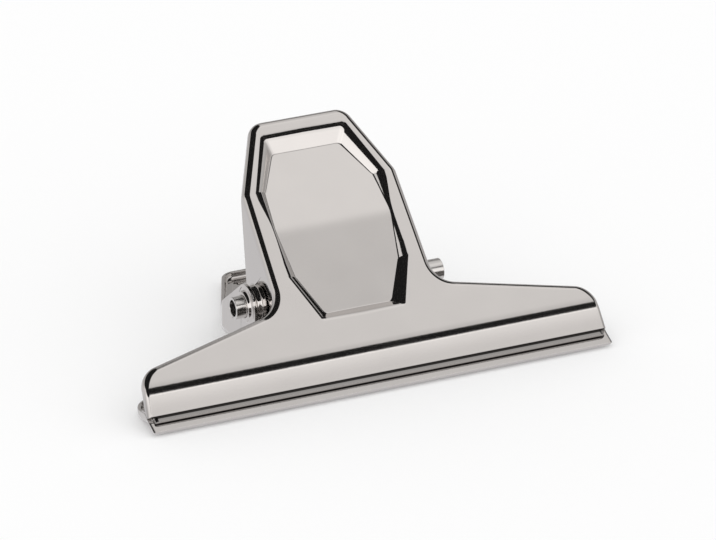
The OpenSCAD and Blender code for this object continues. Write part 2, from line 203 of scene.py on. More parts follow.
class Builder:
    """Collects shared vertices and faces of one body and writes them as a mesh."""

    def __init__(self):
        self.points = []
        self.faces = []

    def row(self, points):
        """Adds vertices and returns their numbers."""
        start = len(self.points)
        self.points.extend(tuple(p) for p in points)
        return list(range(start, start + len(points)))

    def strip(self, a, b, flip=False):
        """Faces between two rows of equal length."""
        for i in range(len(a) - 1):
            quad = [a[i], a[i + 1], b[i + 1], b[i]]
            self.faces.append(quad[::-1] if flip else quad)

    def fill(self, flat, index, flip=False):
        """Fills flat loops [(x, y), ...] whose vertices are named by index."""
        loops = [[Vector((x, y, 0.0)) for x, y in loop] for loop in flat]
        names = [i for loop in index for i in loop]
        places = [p for loop in loops for p in loop]
        for tri in tessellate_polygon(loops):
            a, b, c = (places[i] for i in tri)
            turn = (b - a).cross(c - a).z
            if abs(turn) < NO_AREA:
                continue
            face = [names[i] for i in tri]
            if (turn < 0) != flip:
                face = face[::-1]
            self.faces.append(face)

    def mesh(self, name, mirror_x=False, place=None):
        """Object of the faces, and of their mirror image if asked for, moved to its place."""
        bm = bmesh.new()
        rounds = (1, -1) if mirror_x else (1,)
        for sign in rounds:
            verts = [bm.verts.new((sign * x, y, z)) for x, y, z in self.points]
            for face in self.faces:
                keys = list(dict.fromkeys(face))
                if len(keys) > 2:
                    bm.faces.new([verts[k] for k in (keys if sign > 0 else keys[::-1])])
        bmesh.ops.remove_doubles(bm, verts=bm.verts, dist=MERGE)
        bmesh.ops.dissolve_degenerate(bm, edges=bm.edges, dist=SLIVER)
        if place is not None:
            bmesh.ops.transform(bm, matrix=place, verts=bm.verts)
        bmesh.ops.recalc_face_normals(bm, faces=bm.faces)
        bm.normal_update()
        open_edges = sum(1 for e in bm.edges if len(e.link_faces) != 2)
        data = bpy.data.meshes.new(name)
        bm.to_mesh(data)
        bm.free()
        print(f"{name}: {len(data.polygons)} faces, {open_edges} open or shared edges")
        if not data.polygons:
            raise RuntimeError(f"{name} came out empty")
        weight_normals(data)
        obj = bpy.data.objects.new(name, data)
        bpy.context.scene.collection.objects.link(obj)
        return obj


def weight_normals(data):
    """Smooth shading in which each face counts by its area, so that flats stay flat."""
    data.shade_smooth()
    normals = np.zeros((len(data.vertices), 3))
    for face in data.polygons:
        normals[list(face.vertices)] += np.array(face.normal) * face.area
    size = np.linalg.norm(normals, axis=1, keepdims=True)
    normals = normals / np.maximum(size, 1e-20)
    data.normals_split_custom_set_from_vertices([tuple(n) for n in normals])


def unit(a):
    """Direction of a vector."""
    return a / np.linalg.norm(a)


def smooth(t):
    """Rises from 0 to 1 with level ends."""
    t = min(max(t, 0.0), 1.0)
    return t * t * (3 - 2 * t)


def soft_max(a, b, k):
    """Greater of two heights, rounded where they differ by less than k."""
    h = max(k - abs(a - b), 0.0) / k
    return max(a, b) + h * h * k / 4


def rounded(a, p, b, r, steps):
    """Points of the arc of radius r that rounds corner p between a and b."""
    a, p, b = np.array(a), np.array(p), np.array(b)
    da, db = unit(a - p), unit(b - p)
    opening = math.acos(np.clip(da @ db, -1, 1))
    centre = p + unit(da + db) * r / math.sin(opening / 2)
    start = unit(p + da * r / math.tan(opening / 2) - centre)
    stop = unit(p + db * r / math.tan(opening / 2) - centre)
    turn = math.pi - opening
    out = []
    for i in range(steps + 1):
        t = i / steps
        reach = start * math.sin(turn * (1 - t)) + stop * math.sin(turn * t)
        out.append(centre + r * reach / math.sin(turn))
    return out


class Plate:
    """One pressed plate in its own measures: u across, v along, w into the sheet."""

    def __init__(self, s, rear):
        self.s = s
        self.rear = rear
        self.half = s.opening / 2
        self.side = s.side_half + (s.ear_gap if rear else 0.0)
        self.start = s.bend * math.tan(s.cheek / 2)
        self.lip_turn = s.cheek + self.half
        height = s.depth * math.cos(self.half) - (s.along - self.start) * math.sin(self.half)
        drop = height - s.bend * (math.cos(self.half) - math.cos(self.lip_turn))
        drop -= s.lip_bend * (1 - math.cos(self.lip_turn)) + s.sheet + s.lip_gap / 2
        self.arc = s.bend * s.cheek
        self.cheek_end = self.arc + drop / math.sin(self.lip_turn)
        self.lip_start = self.cheek_end + s.lip_bend * self.lip_turn
        self.rear_end = self.lip_start + s.rear_lip
        self.lip_end = self.rear_end if rear else self.lip_start + s.front_lip
        self.path = self.outline()
        self.miter = self.miters()

    def bent(self, v, w):
        """Place (y, depth) of the blank's point once the sheet is bent."""
        s = self.s
        t = self.start - v

        def arc(t, w):
            a = t / s.bend
            return np.array([self.start - (s.bend - w) * math.sin(a), s.bend - (s.bend - w) * math.cos(a)])

        def cheek(t, w):
            return arc(self.arc, w) + (t - self.arc) * np.array([-math.cos(s.cheek), math.sin(s.cheek)])

        def lip_arc(t, w):
            a = s.cheek - (t - self.cheek_end) / s.lip_bend
            centre = cheek(self.cheek_end, -s.lip_bend)
            return centre + (s.lip_bend + w) * np.array([math.sin(a), math.cos(a)])

        if t <= 0:
            return np.array([v, w])
        if t <= self.arc:
            return arc(t, w)
        if t <= self.cheek_end:
            return cheek(t, w)
        if t <= self.lip_start:
            return lip_arc(t, w)
        fall = np.array([math.cos(self.half), math.sin(self.half)])
        return lip_arc(self.lip_start, w) - (t - self.lip_start) * fall

    def room(self, v):
        """Depth at which the sheet reaches the middle plane between the plates."""
        s = self.s
        normal = np.array([-math.sin(self.half), math.cos(self.half)])
        probe = 0.5 * MM
        top, low = self.bent(v, 0.0), self.bent(v, probe)
        away = (top - np.array([s.along, s.depth])) @ normal
        slope = (low - top) @ normal / probe
        return (-s.lip_gap / 2 - away) / max(slope, 1e-3)

    def outline(self):
        """Right half of the blank, from the lip to the middle of the tip."""
        s = self.s
        drop = s.corner / math.tan((math.pi / 2 + s.rise) / 2)
        corner_at = s.shoulder - drop
        corner_half = s.jaw_half - s.widening
        reach = corner_at + self.rear_end - self.start
        step = 0.35 * MM

        def jaw(t):
            """Half width of the jaw at distance t from the flat."""
            v = self.start - t
            if v > corner_at:
                return corner_half - s.corner + math.sqrt(max(s.corner**2 - (v - corner_at) ** 2, 0))
            half = corner_half + s.widening * (corner_at - v) / reach
            if self.rear:
                return min(half, s.lip_half)
            if t <= self.cheek_end:
                return half
            return half - s.notch * smooth((t - self.cheek_end) / step)

        stations = [self.lip_end]
        stations += list(np.linspace(self.lip_start, self.cheek_end, LIP_POINTS))
        stations += list(np.linspace(self.cheek_end, self.arc, CHEEK_POINTS))[1:-1]
        stations += list(np.linspace(self.arc, 0, BEND_POINTS))
        points = [np.array([jaw(t), self.start - t]) for t in stations]
        self.jaw_count = len(points)
        first = math.asin((self.start - corner_at) / s.corner)
        centre = np.array([corner_half - s.corner, corner_at])
        for a in np.linspace(first, math.pi / 2 - s.rise, CORNER_POINTS)[1:]:
            points.append(centre + s.corner * np.array([math.cos(a), math.sin(a)]))
        shoulder_end = (corner_half, s.shoulder)
        neck = (self.side, s.shoulder + (corner_half - self.side) * math.tan(s.rise))
        waist = (s.waist_half, s.waist)
        tip = (s.tip_half, s.plate)
        turns = [(self.side, s.waist - s.flare), waist] if self.rear else [waist]
        points += rounded(shoulder_end, neck, turns[0], s.neck, steps=20)
        for i, turn in enumerate(turns):
            before = neck if i == 0 else turns[i - 1]
            after = tip if i == len(turns) - 1 else turns[i + 1]
            radius = s.waist_radius if i == len(turns) - 1 else s.flare_radius
            points += rounded(before, turn, after, radius, steps=8)
        points += rounded(turns[-1], tip, (0, s.plate), s.tip_radius, steps=14)
        points.append(np.array([0.0, s.plate]))
        self.ear_from = s.along - s.ear
        self.ear_reach = s.along + s.ear * math.sin(self.ear_tilt())
        points = self.with_stop(points, self.ear_from + s.bevel)
        return self.with_stop(points, self.ear_reach)

    def with_stop(self, points, v):
        """Adds a point at height v where the outline runs beside the ears."""
        beside = self.side + 2 * MM
        out = []
        for a, b in zip(points[:-1], points[1:]):
            out.append(a)
            if a[1] < v < b[1] and a[0] < beside:
                out.append(a + (b - a) * (v - a[1]) / (b[1] - a[1]))
        return out + [points[-1]]

    def miters(self):
        """Outward direction at each point of the outline, longer at corners; level on the lip and cheek."""
        out = []
        last = len(self.path) - 1
        for i, p in enumerate(self.path):
            after = np.array([-1.0, 0.0]) if i == last else self.path[i + 1] - p
            before = p - self.path[i - 1] if i else after
            a, b = (np.array([d[1], -d[0]]) for d in (unit(before), unit(after)))
            level = i < self.jaw_count - BEND_POINTS
            out.append(np.array([1.0, 0.0]) if level else (a + b) / (1 + a @ b))
        return out

    def point(self, u, v, w):
        """Vertex of the bent sheet."""
        y, d = self.bent(v, w)
        return (u, y, d)

    def ring(self, i, j, off):
        """Vertex j of the rolled edge at outline point i, off deep in the sheet; the last is the cut edge."""
        s = self.s
        p, m = self.path[i], self.miter[i]
        room = min(self.room(p[1]), s.rim)
        rest = room - s.bevel - off
        r = self.roll(p[1]) - off
        most = math.acos(np.clip(1 - rest / r, -1, 1)) if rest < r else math.pi / 2
        a = most * min(j, ROLL_FACES) / ROLL_FACES
        q = p - m * (off + r * (1 - math.sin(a)))
        w = off + r * (1 - math.cos(a))
        trim = s.bevel if off in (0.0, s.sheet) else 0.0
        if j > ROLL_FACES:
            w = room - trim
            if i <= LIP_POINTS:  # no roll is left on the lip, so the edge keeps its own depth
                w = max(w, off * 0.999)
        return self.point(q[0], p[1] + trim if i == 0 else q[1], w)

    def roll(self, v):
        """Outer radius of the rolled edge at height v, less at the ends of the jaws."""
        s = self.s
        ease = 1 * MM
        return s.edge + (s.end_edge - s.edge) * smooth((s.shoulder - ease - v) / (s.shoulder + ease))

    def side_u(self, v, off):
        """Half width of the wall beside the pivot, at height v."""
        first, _, last = self.ear_index
        rows = [self.path[i] - self.miter[i] * off for i in range(first - 3, last + 1)]
        return float(np.interp(v, [q[1] for q in rows], [q[0] for q in rows]))

    def wall_u(self, v, off):
        """Half width of the ear's flat, which runs on straight where the neck turns outwards."""
        near, far = self.s.along, self.ear_reach
        here, there = self.side_u(near, off), self.side_u(far, off)
        return self.side_u(v, off) if v >= near else here + (here - there) * (near - v) / (far - near)

    def ear_tilt(self):
        """Slope of the ear's straight edge, which runs down to the waist."""
        s = self.s
        span = math.hypot(s.waist - s.along, s.depth - s.rim)
        return math.atan2(s.depth - s.rim, s.waist - s.along) + math.asin(s.ear / span)

    def ear_line(self, inward):
        """Free edge of the ear in the side view, moved inwards, from the jaw's side to the waist."""
        s = self.s
        r = s.ear - inward
        foot = np.array([s.waist, s.rim - inward])
        turn = np.linspace(0, math.pi / 2 + self.ear_tilt(), EAR_POINTS)
        points = [np.array([s.along - r * math.cos(a), s.depth + r * math.sin(a)]) for a in turn]
        end = points[-1]
        return points + [end + (foot - end) * (v - end[0]) / (foot[0] - end[0]) for v in self.slope]

    def hub(self):
        """Radius and height in mm of the ear's skin, from the outer face round the hole to the inner face."""
        t = self.s.sheet / MM
        if self.rear:
            h = self.s.collar / MM
            return [
                (4.9, 0.0), (4.75, 0.0), (4.5, 0.02), (4.2, 0.12), (4.02, 0.3), (3.92, 0.6), (3.86, h - 0.18),
                (3.74, h - 0.05), (3.55, h), (3.25, h), (3.08, h - 0.04), (2.97, h - 0.15), (2.93, h - 0.3),
                (2.93, 0.0), (2.96, 0.5 - t), (3.08, 0.25 - t), (3.3, 0.08 - t), (3.6, 0.01 - t), (4.2, -t),
                (4.9, -t),
            ]
        h = self.s.boss / MM
        return [
            (5.3, 0.0), (5.25, 0.0), (5.18, 0.01), (5.1, 0.06), (5.0, 0.18), (4.95, 0.36), (4.9, h - 0.5),
            (4.85, h - 0.32), (4.74, h - 0.14), (4.58, h - 0.03), (4.4, h), (3.3, h), (3.1, h - 0.03),
            (3.0, h - 0.14), (2.97, h - 0.3), (2.97, h - 0.7), (3.05, h + 0.04 - t), (3.2, h - t),
            (3.7, h - 0.02 - t), (3.95, h - 0.15 - t), (4.05, h - 0.5 - t), (4.08, 0.4 - t),
            (4.2, 0.12 - t), (4.45, 0.01 - t), (5.3, -t),
        ]

    def floor_depth(self, v):
        """Depth of the recess floor: two slopes that meet at a rounded ridge."""
        s = self.s
        low = (s.recess - s.ridge) / (s.ridge_at - s.recess_start - s.low_wall)
        high = (s.recess - s.ridge) / (s.recess_tip - s.tip_wall - s.ridge_at)
        return s.ridge + soft_max((s.ridge_at - v) * low, (v - s.ridge_at) * high, s.ridge_soft)

    def recess_loops(self):
        """Right half of the recess, at its edge and at its floor, from the lower middle to the upper one."""
        s = self.s

        def floor(u, v, run):
            """Point of the floor's edge inside point (u, v) of the recess's edge."""
            return (u - run * self.floor_depth(v), v)

        edge = [
            (0.0, s.recess_start), (s.recess_end, s.recess_start), (s.recess_low, s.recess_low_at),
            (s.recess_high, s.waist), (s.recess_end, s.recess_tip), (0.0, s.recess_tip),
        ]
        end = s.recess_end - 0.7 * s.recess  # the walls are steeper at the four corners than along the sides
        low, tip = s.recess_start + s.low_wall, s.recess_tip - s.tip_wall
        base = [(0.0, low), (end, low), floor(*edge[2], 1.0), floor(*edge[3], 1.0), (end, tip), (0.0, tip)]
        middle = [s.ridge_at + k * MM for k in range(-9, 10)]
        loops = []
        for line, run in ((edge, 0.0), (base, 1.0)):
            out = [np.array(line[0])]
            for i in range(1, 5):
                out += rounded(line[i - 1], line[i], line[i + 1], s.recess_corner, steps=8)
                if i == 2:
                    share = [(v - edge[2][1]) / (edge[3][1] - edge[2][1]) for v in middle]
                    sides = [edge[2][0] + (edge[3][0] - edge[2][0]) * k for k in share]
                    out += [np.array([u - run * self.floor_depth(v), v]) for u, v in zip(sides, middle)]
            loops.append(out + [np.array(line[5])])
        return loops

    def recess_rings(self):
        """Rings of (u, v, depth) down the recess wall and onto its floor."""
        s = self.s
        edge, base = self.recess_loops()
        before, beyond = 1.6 * MM, 0.6 * MM  # reach of the rings outside the edge and on the floor
        fall = math.tan(s.lead_slope)
        dent = 0.03 * MM
        rings = []
        shares = np.concatenate([np.linspace(0, 0.5, 19), np.linspace(0.5, 1, 15)[1:]])  # closer by the edge
        for share in shares:
            ring = []
            for p, q in zip(edge, base):
                run = float(np.linalg.norm(q - p))
                x = -before + (before + run + beyond) * share
                place = p + (q - p) / run * x
                above = smooth((p[1] - s.ridge_at) / (s.waist - s.ridge_at))
                below = smooth((s.ridge_at - p[1]) / (s.ridge_at - s.recess_low_at))
                width = 0.25 + 0.75 * above + 0.25 * below  # full at the tip end, half at the jaw end
                lead = s.lead * width * (1 + 0.35 * abs(q[0] - p[0]) / run)
                slope = x / run * self.floor_depth(q[1])
                wall = soft_max(soft_max(0.0, (x + lead) * fall, dent), slope, s.press)
                ring.append((place[0], place[1], -soft_max(-wall, -self.floor_depth(place[1]), s.crease)))
            rings.append(ring)
        return rings

    def build(self, name):
        """Object of the whole plate: both skins, the rounded cut edges between them and the lip's end."""
        s = self.s
        b = Builder()
        count = len(self.path)
        stop = self.ear_from + s.bevel
        u, v = np.array(self.path).T
        first = int(np.argmin(abs(v - stop) + abs(u - self.side)))
        last = first + int(np.argmin(abs(v[first:] - s.waist)))
        reach = first + int(np.argmin(abs(v[first:] - self.ear_reach)))
        self.ear_index = (first, reach, last)
        self.slope = list(v[reach + 1 : last])
        split = int(np.argmax(v > self.start + 0.2 * MM))
        chains = []
        ends = []
        for off, outer in ((0.0, True), (s.sheet, False)):
            rows = [b.row([self.ring(i, j, off) for i in range(count)]) for j in range(ROLL_FACES + 2)]
            for upper, lower in zip(rows[:-1], rows[1:]):
                b.strip(upper, lower, flip=not outer)
            middle = b.row([(0.0, *b.points[i][1:]) for i in rows[0][: split + 1]])
            b.strip(middle, rows[0][: split + 1], flip=not outer)
            self.face(b, rows[0], middle[split], split, off, outer)
            chains.append(self.ear(b, rows[-1], off, outer))
            ends.append([middle[0]] + [row[0] for row in rows])
        rims = []
        sides = []
        for off in (s.bevel, s.sheet - s.bevel):
            low = [self.ring(i, ROLL_FACES + 1, off) for i in range(count)]
            ear = [self.point(self.wall_u(q[0], off), q[0], q[1]) for q in self.ear_line(0.0)]
            ear.insert(0, self.point(self.wall_u(self.ear_from, off), self.ear_from, s.rim + s.foot))
            foot = self.point(self.side_u(self.ear_from, off), self.ear_from, s.rim)
            rim = b.row(low[:first] + [foot] + ear + low[last:])
            end = [self.ring(0, j, off) for j in range(ROLL_FACES + 1)]
            end.insert(0, self.point(0.0, self.path[0][1], off))
            rims.append(rim)
            sides.append(b.row(end) + [rim[0]])
        order = [chains[0], rims[0], rims[1], chains[1]]
        for a, c in zip(order[:-1], order[1:]):
            b.strip(a, c)
        order = [ends[0], sides[0], sides[1], ends[1]]
        for a, c in zip(order[:-1], order[1:]):
            b.strip(a, c, flip=True)
        return b.mesh(name, mirror_x=True, place=self.place())

    def face(self, b, edge, corner, split, off, outer):
        """Flat of the plate with its recess."""
        rings = []
        for ring in self.recess_rings():
            rings.append(b.row([self.point(u, v, off + max(depth, 0.0)) for u, v, depth in ring]))
        for upper, lower in zip(rings[:-1], rings[1:]):
            b.strip(upper, lower, flip=outer)
        loop = edge[split:] + rings[0][::-1] + [corner]
        b.fill([[(b.points[i][0], b.points[i][1]) for i in loop]], [loop], flip=outer)
        inner = rings[-1]
        along = np.array([b.points[i][1] for i in inner])
        ends = 2 * MM  # length of the floor's two ends, which are filled as one face each
        first = int(np.argmax(along > along[0] + ends))
        last = int(np.argmax(along > along[-1] - ends))
        middle = b.row([self.point(0.0, v, off + self.floor_depth(v)) for v in along[first:last]])
        b.strip(inner[first:last], middle, flip=outer)
        for loop in (inner[: first + 1] + [middle[0]], inner[last - 1 :] + [middle[-1]]):
            b.fill([[(b.points[i][0], b.points[i][1]) for i in loop]], [loop], flip=outer)

    def ear(self, b, low, off, outer):
        """Ear under the wall, with its hub; returns the skin's free edge."""
        s = self.s
        first, reach, last = self.ear_index
        line = self.ear_line(s.bevel)
        arc = len(line) - len(self.slope)
        free = b.row([self.point(self.wall_u(q[0], off), q[0], q[1]) for q in line])
        hub = self.hub()
        r = hub[0][0] * MM
        pin = (s.along, s.depth)
        turn = [2 * math.pi * k / HOLE_FACES for k in range(HOLE_FACES)]
        hole_flat = [(pin[0] + r * math.cos(a), pin[1] + r * math.sin(a)) for a in turn]
        hole = b.row([self.point(self.wall_u(v, off), v, w) for v, w in hole_flat])
        feet = [b.points[i][1] for i in low[first : reach + 1]]
        bench = b.row([self.point(self.wall_u(v, off), v, s.rim + s.foot) for v in feet])
        b.strip(low[first : reach + 1], bench, flip=not outer)
        loop = bench + free[:arc][::-1]
        flat = [(b.points[i][1], b.points[i][2]) for i in loop]
        start, stop = flat[0][0], flat[reach - first][0]
        bow = 0.5 * MM
        for i in range(1, reach - first):  # bowed, so that the fill uses every point of this straight side
            v, w = flat[i]
            flat[i] = (v, w - bow * (v - start) * (stop - v) / (stop - start) ** 2)
        b.fill([flat, hole_flat], [loop, hole], flip=not outer)
        slope = free[arc - 1 :] + [low[last]]
        b.faces.append([low[reach], low[reach + 1], slope[1], slope[0], bench[-1]])
        b.strip(low[reach + 1 : last + 1], slope[1:], flip=not outer)
        if outer:
            rows = [hole]
            skirt = hub[0][0] - 0.3  # wider rings follow the ear's flat
            for radius, height in hub[1:-1]:
                ring = []
                for a in turn:
                    v, w = pin[0] + radius * MM * math.cos(a), pin[1] + radius * MM * math.sin(a)
                    base = self.side if radius < skirt else self.wall_u(v, 0.0)
                    ring.append(self.point(base + height * MM, v, w))
                rows.append(b.row(ring))
            self.hub_rows = rows
        else:
            rows = self.hub_rows + [hole]
            for a, c in zip(rows[:-1], rows[1:]):
                b.strip(a + [a[0]], c + [c[0]])
        return low[: first + 1] + [bench[0]] + free + low[last:]

    def shade_lines(self):
        """Lines of painted shade: place, radius of full and of no painted shade, and strength."""
        fold = self.start - (self.cheek_end + self.lip_start) / 2
        end = self.start - self.lip_end
        # painted shade over the cheek, in the fold, on the lip and under its lower edge
        spots = (
            (fold, 0.0, 1.0, 8.0, 0.25),  # cheek
            (end, 0.0, 0.9, 1.38, 0.3),  # lip
            (fold, 0.0, 0.315, 0.483, 1.0),  # fold between the two
            (end, self.s.sheet, 0.2625, 0.4025, 1.0),  # lower edge of the lip
        )
        lines = []
        for v, w, near, far, dark in spots:
            lines.append((self.place() @ Vector(self.point(0.0, v, w)), near * MM, far * MM, dark))
        return lines

    def place(self):
        """Matrix from the plate's own measures to the clip with its lips closed."""
        s = self.s
        move = Matrix.Translation((0.0, -s.along, -s.depth))
        if self.rear:
            return Matrix.Translation(PIVOT) @ move
        flip = Matrix.Diagonal((1.0, 1.0, -1.0, 1.0))
        return Matrix.Translation(PIVOT) @ Matrix.Rotation(s.opening, 4, "X") @ flip @ move


def nodes_of(name):
    """New material with its node tree and its shader."""
    material = bpy.data.materials.new(name)
    material.use_nodes = True
    tree = material.node_tree
    shader = tree.nodes["Principled BSDF"]
    return material, tree, shader


def painted_shade(tree, place, shade, shade_lines):
    """Painted shade: darkens a colour about lines along X, standing in for the shade in the fold and under
    the lip.
    """
    new, link = tree.nodes.new, tree.links.new
    flat = new("ShaderNodeVectorMath")
    flat.operation = "MULTIPLY"
    flat.inputs[1].default_value = (0.0, 1.0, 1.0)
    link(place.outputs["Object"], flat.inputs[0])
    for seam, near, far, strength in shade_lines:
        away = new("ShaderNodeVectorMath")
        away.operation = "DISTANCE"
        link(flat.outputs["Vector"], away.inputs[0])
        away.inputs[1].default_value = (0.0, seam.y, seam.z)
        mask = new("ShaderNodeMapRange")
        mask.interpolation_type = "SMOOTHSTEP"
        for socket, value in (("From Min", near), ("From Max", far), ("To Min", strength), ("To Max", 0.0)):
            mask.inputs[socket].default_value = value
        link(away.outputs["Value"], mask.inputs["Value"])
        # near-black painted shade, mixed in by the mask
        dark = new("ShaderNodeMix")
        dark.data_type = "RGBA"
        dark.inputs["B"].default_value = (0.03, 0.028, 0.027, 1.0)
        link(mask.outputs["Result"], dark.inputs["Factor"])
        link(shade, dark.inputs["A"])
        shade = dark.outputs["Result"]
    return shade


def nickel(name, tone, rough, grain=1.0, shade_lines=()):
    """Polished nickel with a faint cloudiness and a fine grain, with painted shade along the given lines."""
    material, tree, shader = nodes_of(name)
    shader.inputs["Metallic"].default_value = 1.0
    new, link = tree.nodes.new, tree.links.new
    place = new("ShaderNodeTexCoord")

    def noise(scale, detail):
        node = new("ShaderNodeTexNoise")
        node.inputs["Scale"].default_value = scale
        node.inputs["Detail"].default_value = detail
        link(place.outputs["Object"], node.inputs["Vector"])
        return node.outputs["Fac"]

    cloud = noise(scale=90.0, detail=4.0)
    tint = new("ShaderNodeMix")
    tint.data_type = "RGBA"
    tint.inputs["A"].default_value = (*tone, 1.0)
    tint.inputs["B"].default_value = (*(c * 0.93 for c in tone), 1.0)
    link(cloud, tint.inputs["Factor"])
    shade = tint.outputs["Result"]
    # painted shade along the fold and the lip's edges, where these are given
    if shade_lines:
        shade = painted_shade(tree, place, shade, shade_lines)
    link(shade, shader.inputs["Base Color"])
    gloss = new("ShaderNodeMapRange")
    gloss.inputs["To Min"].default_value = rough * 0.8
    gloss.inputs["To Max"].default_value = rough * 1.3
    link(cloud, gloss.inputs["Value"])
    link(gloss.outputs["Result"], shader.inputs["Roughness"])
    bump = new("ShaderNodeBump")
    bump.inputs["Strength"].default_value = 0.03 * grain
    bump.inputs["Distance"].default_value = 0.1 * MM
    link(noise(scale=1400.0, detail=3.0), bump.inputs["Height"])
    link(bump.outputs["Normal"], shader.inputs["Normal"])
    return material


class CLIP_OT_plates(bpy.types.Operator):
    """Builds the two pressed plates"""

    bl_idname = "clip.plates"
    bl_label = "Plates"

    def execute(self, context):
        settings = context.scene.clip_sheet
        for node, body, rear in (("rear_plate", "rear", True), ("front_plate", "front", False)):
            plate = Plate(settings, rear)
            obj = plate.build(f"{node}_skin")
            # the front plate's coat gets painted shade along its fold and lip; the rear plate's gets none
            shade_lines = [] if rear else plate.shade_lines()
            coat = nickel(f"Plated sheet, {body}", settings.plating, settings.roughness, shade_lines=shade_lines)
            obj.data.materials.append(coat)
            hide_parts(node)
            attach(obj, body)
        return {"FINISHED"}


class CLIP_OT_tube(bpy.types.Operator):
    """Builds the rolled pivot tube"""

    bl_idname = "clip.tube"
    bl_label = "Tube"

    def execute(self, context):
        s = context.scene.clip_tube
        b = Builder()

        def around(radius, seam_radius):
            """Circle that leaves out the seam at the bottom."""
            gap = math.asin(s.seam / 2 / seam_radius)
            turn = np.linspace(-math.pi / 2 + gap, 1.5 * math.pi - gap, TUBE_POINTS)
            return [(radius * math.cos(a), radius * math.sin(a)) for a in turn]

        def section(inset):
            """Outline of the wall, thinner by inset on both sides."""
            bore = s.radius - s.wall + inset
            return around(s.radius - inset, s.radius) + around(bore, bore)[::-1]

        inner = s.half - s.chamfer
        stations = [(-s.half, s.chamfer), (-inner, 0.0), (inner, 0.0), (s.half, s.chamfer)]
        rows = []
        for x, inset in stations:
            points = [(PIVOT[0] + s.shift + x, PIVOT[1] + y, PIVOT[2] + z) for y, z in section(inset)]
            row = b.row(points)
            rows.append(row + [row[0]])
        for a, c in zip(rows[:-1], rows[1:]):
            b.strip(a, c)
        for row, flip in ((rows[0], False), (rows[-1], True)):
            b.strip(row[:TUBE_POINTS], row[TUBE_POINTS : 2 * TUBE_POINTS][::-1], flip=flip)
        obj = b.mesh("pivot_tube_skin")
        obj.data.materials.append(nickel("Plated tube", s.plating, s.roughness))
        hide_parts("pivot_tube")
        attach(obj, "rear")
        return {"FINISHED"}


def wire_tree():
    """Node tree that turns a line of vertices into a round wire."""
    tree = bpy.data.node_groups.new("Wire along a line", "GeometryNodeTree")
    socket = tree.interface.new_socket
    socket("Geometry", in_out="INPUT", socket_type="NodeSocketGeometry")
    radius = socket("Wire radius", in_out="INPUT", socket_type="NodeSocketFloat")
    sides = socket("Sides", in_out="INPUT", socket_type="NodeSocketInt")
    paint = socket("Material", in_out="INPUT", socket_type="NodeSocketMaterial")
    socket("Geometry", in_out="OUTPUT", socket_type="NodeSocketGeometry")
    new, link = tree.nodes.new, tree.links.new
    enter, leave = new("NodeGroupInput"), new("NodeGroupOutput")
    line = new("GeometryNodeMeshToCurve")
    ring = new("GeometryNodeCurvePrimitiveCircle")
    wire = new("GeometryNodeCurveToMesh")
    wire.inputs["Fill Caps"].default_value = True
    shade = new("GeometryNodeSetShadeSmooth")
    real = new("GeometryNodeRealizeInstances")
    coat = new("GeometryNodeSetMaterial")
    link(enter.outputs["Geometry"], line.inputs["Mesh"])
    link(enter.outputs["Wire radius"], ring.inputs["Radius"])
    link(enter.outputs["Sides"], ring.inputs["Resolution"])
    link(line.outputs["Curve"], wire.inputs["Curve"])
    link(ring.outputs["Curve"], wire.inputs["Profile Curve"])
    link(wire.outputs["Mesh"], shade.inputs["Geometry"])
    link(shade.outputs["Geometry"], real.inputs["Geometry"])
    link(real.outputs["Geometry"], coat.inputs["Geometry"])
    link(enter.outputs["Material"], coat.inputs["Material"])
    link(coat.outputs["Geometry"], leave.inputs["Geometry"])
    return tree, {"radius": radius.identifier, "sides": sides.identifier, "paint": paint.identifier}


